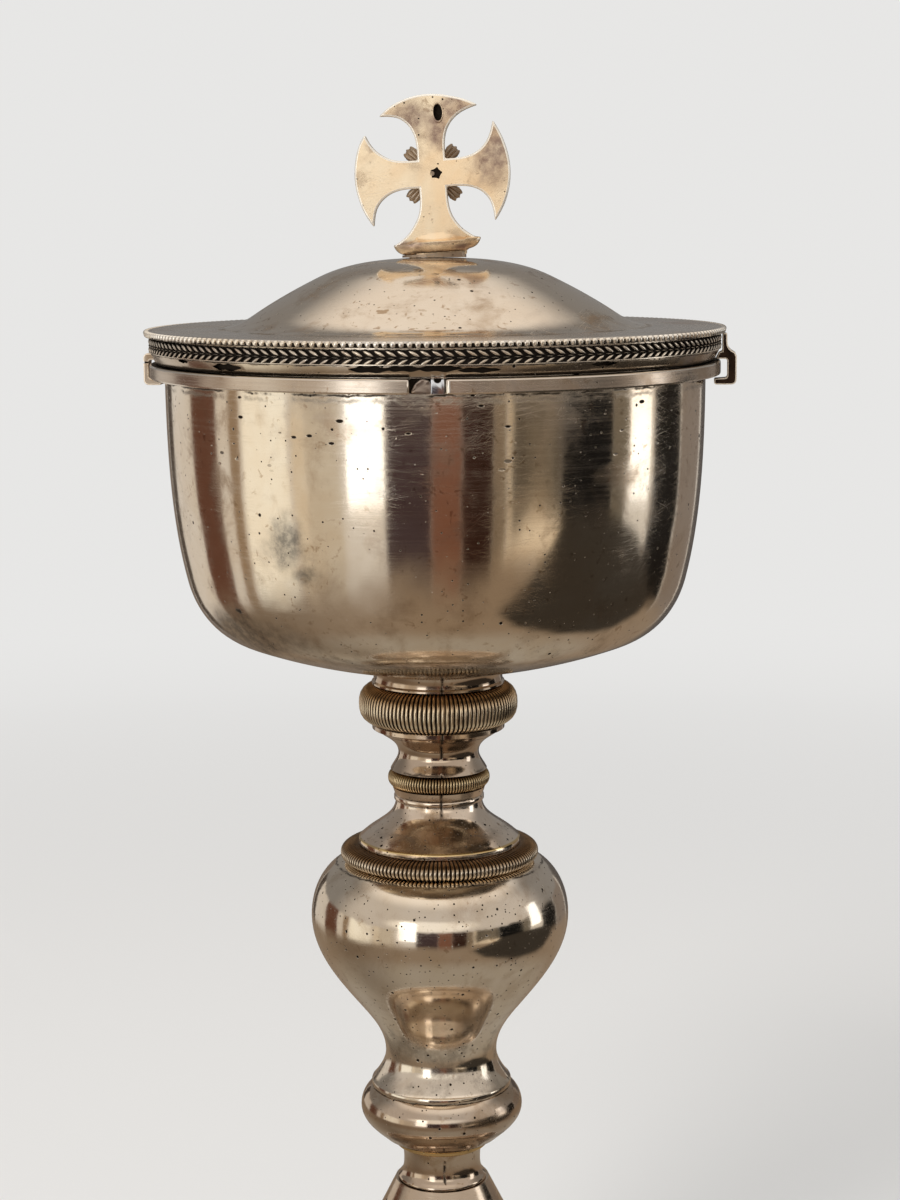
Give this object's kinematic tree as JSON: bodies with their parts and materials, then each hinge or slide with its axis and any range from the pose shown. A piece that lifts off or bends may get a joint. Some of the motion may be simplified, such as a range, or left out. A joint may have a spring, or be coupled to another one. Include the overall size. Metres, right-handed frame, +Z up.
{
  "type": "ciborium",
  "caption": "Covered silver cup on a tall knopped stem and round foot, its domed cover topped by a small leaning cross and held by a turning lock at the rim.",
  "frame": {"origin": "centre of the circle on which the foot stands, in the plane of its underside", "axes": "+Z up along the axis of the stem and the cup; the plain back of the cross and the front gap of the lock face -Y, and the hook with a strap is at +X"},
  "size_m": [0.1323, 0.129, 0.3032],
  "materials": {
    "silver": "worn warm silver plate, bright, finely scratched and pitted",
    "gilt": "worn gilding, bright on the ribs and dark between them",
    "pale_gilt": "pale worn silver gilt, tarnished at the ends of the arms",
    "dark_metal": "plain dull steel"
  },
  "bodies": {
    "cup": {"foot_ring": "silver", "foot_cushion": "silver", "foot_shell": "silver", "foot_washer": "dark_metal", "foot_nut": "dark_metal", "tie_rod": "dark_metal", "neck_ring": "silver", "lower_knob": "silver", "knop_lower": "silver", "knop_upper": "silver", "reeded_ring_lower": "gilt", "stem_flare": "silver", "reeded_ring_middle": "gilt", "stem_waist": "silver", "reeded_ring_upper": "gilt", "bowl_collar": "silver", "bowl_boss": "dark_metal", "bowl": "silver", "lock_band_right": "silver", "lock_band_left": "silver", "gap_lug_front": "silver", "gap_lug_back": "silver"},
    "cover": {"cover_shell": "silver", "cover_bead_ring": "silver", "cover_leaf_band": "silver", "cover_skirt": "silver", "cover_bezel": "silver", "cross_collar": "pale_gilt", "cross_stud": "pale_gilt", "cross_washer": "dark_metal", "cross_nut": "dark_metal", "hook_right": "silver", "hook_left": "silver", "cross": "pale_gilt", "cross_rosette": "pale_gilt", "rosette_rivet": "pale_gilt"}
  },
  "joints": [
    {"name": "cover_turn", "type": "hinge", "parent": "cup", "child": "cover", "pos_m": [0, 0, 0.245], "axis": [0, 0, 1], "range_deg": [-86.8, 93.2]}
  ]
}
